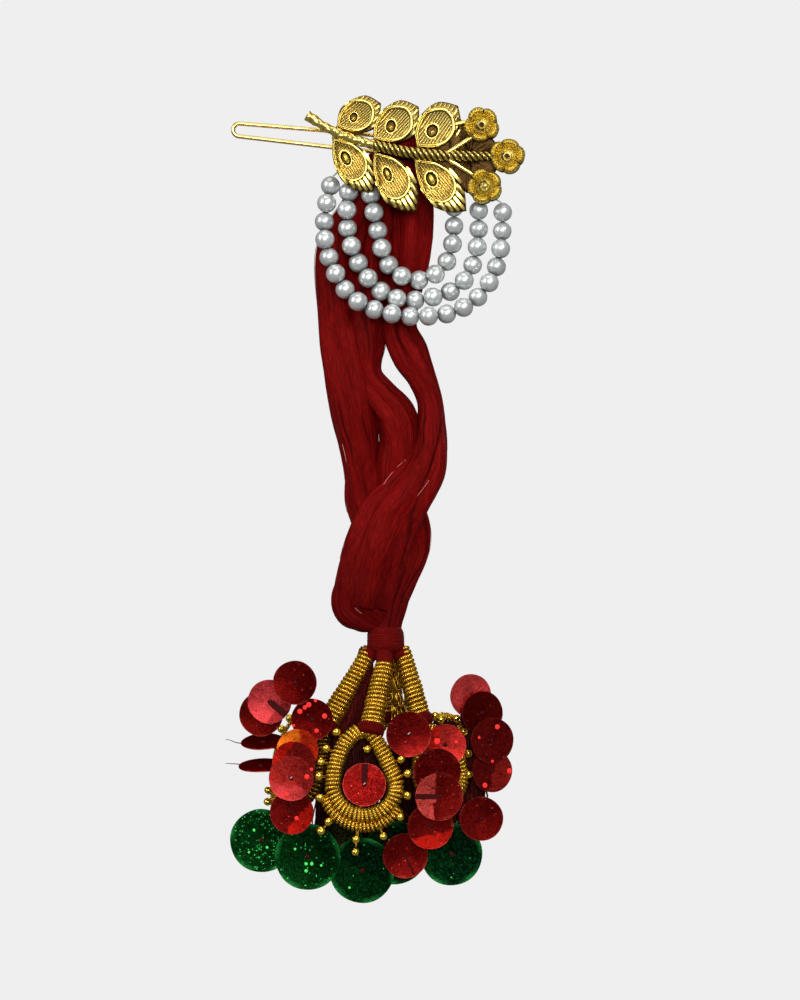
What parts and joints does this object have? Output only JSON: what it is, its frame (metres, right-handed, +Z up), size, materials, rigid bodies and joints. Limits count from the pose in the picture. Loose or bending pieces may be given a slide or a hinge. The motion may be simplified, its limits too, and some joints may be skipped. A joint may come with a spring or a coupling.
{
  "type": "hair tassel",
  "caption": "Gold leaf-and-flower spray on a hair pin, with pearl swags and a twisted red silk skein ending in wire-wrapped loops with red and green sequins.",
  "frame": {"origin": "on the hair pin's axis, midway between its two legs, behind the spray where the skein folds over it", "axes": "+Z up with the tassel hanging down, -Y towards the viewer in front of the spray, +X to the viewer's right"},
  "size_m": [0.0616, 0.0251, 0.1682],
  "materials": {
    "gold_casting": "polished with dark recesses",
    "pin_wire": "polished",
    "pearl": "pearly gloss",
    "pearl_thread": "matt",
    "silk": "silky sheen",
    "gold_wire": "coiled wire, antique",
    "red_foil": "glossy foil",
    "green_foil": "glitter foil"
  },
  "bodies": {
    "root": {"leaf_spray": "gold_casting", "hair_pin": "pin_wire", "pearls_outer": "pearl", "pearls_middle": "pearl", "pearls_inner": "pearl", "thread_outer": "pearl_thread", "thread_middle": "pearl_thread", "thread_inner": "pearl_thread", "thread_skein": "silk", "skein_binding": "silk", "drop_front": "gold_wire", "drop_left": "gold_wire", "drop_right": "gold_wire", "drop_back": "gold_wire", "red_sequin_1": "red_foil", "red_sequin_2": "red_foil", "red_sequin_3": "red_foil", "red_sequin_4": "red_foil", "red_sequin_5": "red_foil", "red_sequin_6": "red_foil", "red_sequin_7": "red_foil", "red_sequin_8": "red_foil", "red_sequin_9": "red_foil", "red_sequin_10": "red_foil", "red_sequin_11": "red_foil", "red_sequin_12": "red_foil", "red_sequin_13": "red_foil", "red_sequin_14": "red_foil", "red_sequin_15": "red_foil", "red_sequin_16": "red_foil", "red_sequin_17": "red_foil", "red_sequin_18": "red_foil", "red_sequin_19": "red_foil", "red_sequin_20": "red_foil", "red_sequin_21": "red_foil", "red_sequin_22": "red_foil", "red_sequin_23": "red_foil", "red_sequin_24": "red_foil", "red_sequin_25": "red_foil", "red_sequin_26": "red_foil", "red_sequin_27": "red_foil", "red_sequin_28": "red_foil", "red_sequin_29": "red_foil", "green_sequin_1": "green_foil", "green_sequin_2": "green_foil", "green_sequin_3": "green_foil", "green_sequin_4": "green_foil", "green_sequin_5": "green_foil", "green_sequin_6": "green_foil"}
  },
  "joints": []
}
